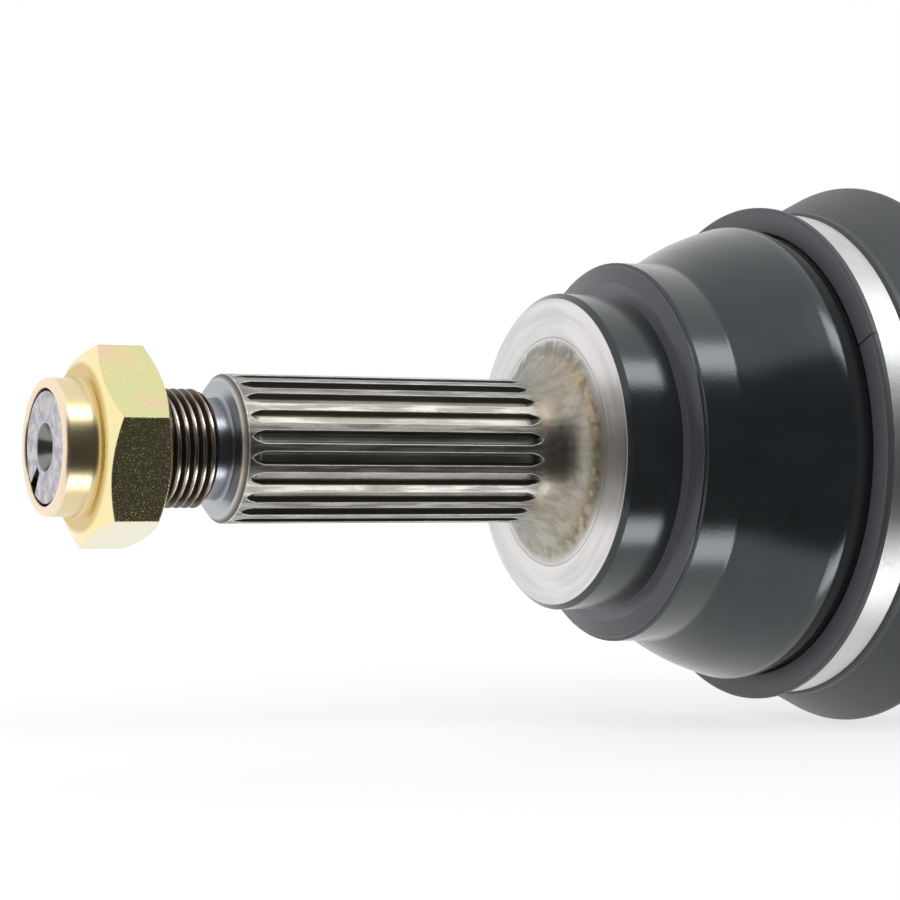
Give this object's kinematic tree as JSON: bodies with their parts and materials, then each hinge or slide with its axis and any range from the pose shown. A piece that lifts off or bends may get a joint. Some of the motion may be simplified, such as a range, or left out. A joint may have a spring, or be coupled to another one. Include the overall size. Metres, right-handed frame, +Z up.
{
  "type": "drive shaft",
  "caption": "Car drive shaft: a splined stub with its nut, a booted ball joint, a steel bar and a booted sliding tripod joint with a splined gearbox stub.",
  "frame": {"origin": "on the shaft's axis, in the plane of the machined face that the wheel hub is clamped against", "axes": "+X along the straight shaft from the wheel to the gearbox; +Z up, with the shaft lying level; -Y the side that the picture looks at"},
  "size_m": [0.5945, 0.0994, 0.0994],
  "materials": {
    "bare_and_painted_steel": "gloss black paint on the bell, bare machined steel on the stub",
    "yellow_zinc_steel": "yellow passivated zinc plating",
    "boot_rubber": "satin black moulded rubber",
    "clamp_steel": "matte stainless band",
    "bar_steel": "black paint over forged steel",
    "race_steel": "hardened and ground bearing steel",
    "spring_steel": "phosphated spring steel",
    "ball_steel": "polished bearing balls",
    "adapter_plastic": "moulded thermoplastic"
  },
  "bodies": {
    "wheel_stub": {"outer_race": "bare_and_painted_steel", "hub_nut": "yellow_zinc_steel", "outboard_boot": "boot_rubber", "outboard_large_clamp": "clamp_steel"},
    "bar": {"axle_bar": "bar_steel", "inner_race": "race_steel", "race_circlip": "spring_steel", "outboard_small_clamp": "clamp_steel", "inboard_small_clamp": "clamp_steel", "spider": "race_steel", "spider_circlips": "spring_steel"},
    "cage": {"ball_cage": "race_steel"},
    "ball_1": {"ball_1": "ball_steel"},
    "ball_2": {"ball_2": "ball_steel"},
    "ball_3": {"ball_3": "ball_steel"},
    "ball_4": {"ball_4": "ball_steel"},
    "ball_5": {"ball_5": "ball_steel"},
    "ball_6": {"ball_6": "ball_steel"},
    "roller_block_23": {"roller_inner_ring_2": "race_steel", "needle_set_2": "ball_steel", "roller_washers_2": "spring_steel", "roller_inner_ring_3": "race_steel", "needle_set_3": "ball_steel", "roller_washers_3": "spring_steel"},
    "roller_block_1": {"roller_inner_ring_1": "race_steel", "needle_set_1": "ball_steel", "roller_washers_1": "spring_steel"},
    "tulip": {"tulip_housing": "bare_and_painted_steel", "gearbox_snap_ring": "spring_steel", "boot_adapter_ring": "adapter_plastic", "inboard_boot": "boot_rubber", "inboard_large_clamp": "clamp_steel"},
    "roller_1": {"roller_ring_1": "race_steel"},
    "roller_2": {"roller_ring_2": "race_steel"},
    "roller_3": {"roller_ring_3": "race_steel"}
  },
  "joints": [
    {"name": "outboard_bend", "type": "hinge", "parent": "wheel_stub", "child": "bar", "pos_m": [0.0336, 0, 0], "axis": [0, 0, 1], "range_deg": [-45, 45], "deforming": ["outboard_boot"]},
    {"name": "cage_turn", "type": "hinge", "parent": "wheel_stub", "child": "cage", "pos_m": [0.0336, 0, 0], "axis": [0, 0, 1], "range_deg": [-23.5, 23.5]},
    {"name": "ball_1_roll", "type": "hinge", "parent": "wheel_stub", "child": "ball_1", "pos_m": [0.0361, 0, 0], "axis": [0, 0, 1], "range_deg": [-23.5, 23.5]},
    {"name": "ball_2_roll", "type": "hinge", "parent": "wheel_stub", "child": "ball_2", "pos_m": [0.0361, 0, 0], "axis": [0, -0.866, 0.5], "range_deg": [-12.61, 12.61]},
    {"name": "ball_3_roll", "type": "hinge", "parent": "wheel_stub", "child": "ball_3", "pos_m": [0.0361, 0, 0], "axis": [0, -0.866, -0.5], "range_deg": [-12.61, 12.61]},
    {"name": "ball_4_roll", "type": "hinge", "parent": "wheel_stub", "child": "ball_4", "pos_m": [0.0361, 0, 0], "axis": [0, 0, -1], "range_deg": [-23.5, 23.5]},
    {"name": "ball_5_roll", "type": "hinge", "parent": "wheel_stub", "child": "ball_5", "pos_m": [0.0361, 0, 0], "axis": [0, 0.866, -0.5], "range_deg": [-12.61, 12.61]},
    {"name": "ball_6_roll", "type": "hinge", "parent": "wheel_stub", "child": "ball_6", "pos_m": [0.0361, 0, 0], "axis": [0, 0.866, 0.5], "range_deg": [-12.61, 12.61]},
    {"name": "inboard_bend", "type": "hinge", "parent": "bar", "child": "roller_block_23", "pos_m": [0.3336, -0.011, 0], "axis": [0, 0, 1], "range_deg": [-18, 18], "deforming": ["inboard_boot"]},
    {"name": "roller_block_1_slide", "type": "slide", "parent": "roller_block_23", "child": "roller_block_1", "axis": [1, 0, 0], "range_m": [-0.0106, 0.0106]},
    {"name": "plunge", "type": "slide", "parent": "roller_block_23", "child": "tulip", "axis": [-1, 0, 0], "range_m": [-0.013, 0.022], "deforming": ["inboard_boot"]},
    {"name": "roller_1_turn", "type": "hinge", "parent": "roller_block_1", "child": "roller_1", "pos_m": [0.3336, 0.022, 0], "axis": [0, 1, 0], "range_deg": [-74, 45]},
    {"name": "roller_2_turn", "type": "hinge", "parent": "roller_block_23", "child": "roller_2", "pos_m": [0.3336, -0.011, 0.01905], "axis": [0, -0.5, 0.866], "range_deg": [-74, 45]},
    {"name": "roller_3_turn", "type": "hinge", "parent": "roller_block_23", "child": "roller_3", "pos_m": [0.3336, -0.011, -0.01905], "axis": [0, -0.5, -0.866], "range_deg": [-74, 45]}
  ],
  "couplings": [
    {"joint": "cage_turn", "follows": "outboard_bend", "ratio": 0.5},
    {"joint": "ball_1_roll", "follows": "outboard_bend", "ratio": 0.5},
    {"joint": "ball_2_roll", "follows": "outboard_bend", "ratio": 0.258},
    {"joint": "ball_3_roll", "follows": "outboard_bend", "ratio": -0.258},
    {"joint": "ball_4_roll", "follows": "outboard_bend", "ratio": -0.5},
    {"joint": "ball_5_roll", "follows": "outboard_bend", "ratio": -0.258},
    {"joint": "ball_6_roll", "follows": "outboard_bend", "ratio": 0.258},
    {"joint": "roller_block_1_slide", "follows": "inboard_bend", "m_per_rad": 0.032593},
    {"joint": "roller_1_turn", "follows": "plunge", "rad_per_m": -57.143},
    {"joint": "roller_2_turn", "follows": "plunge", "rad_per_m": -57.143},
    {"joint": "roller_3_turn", "follows": "plunge", "rad_per_m": -57.143}
  ]
}
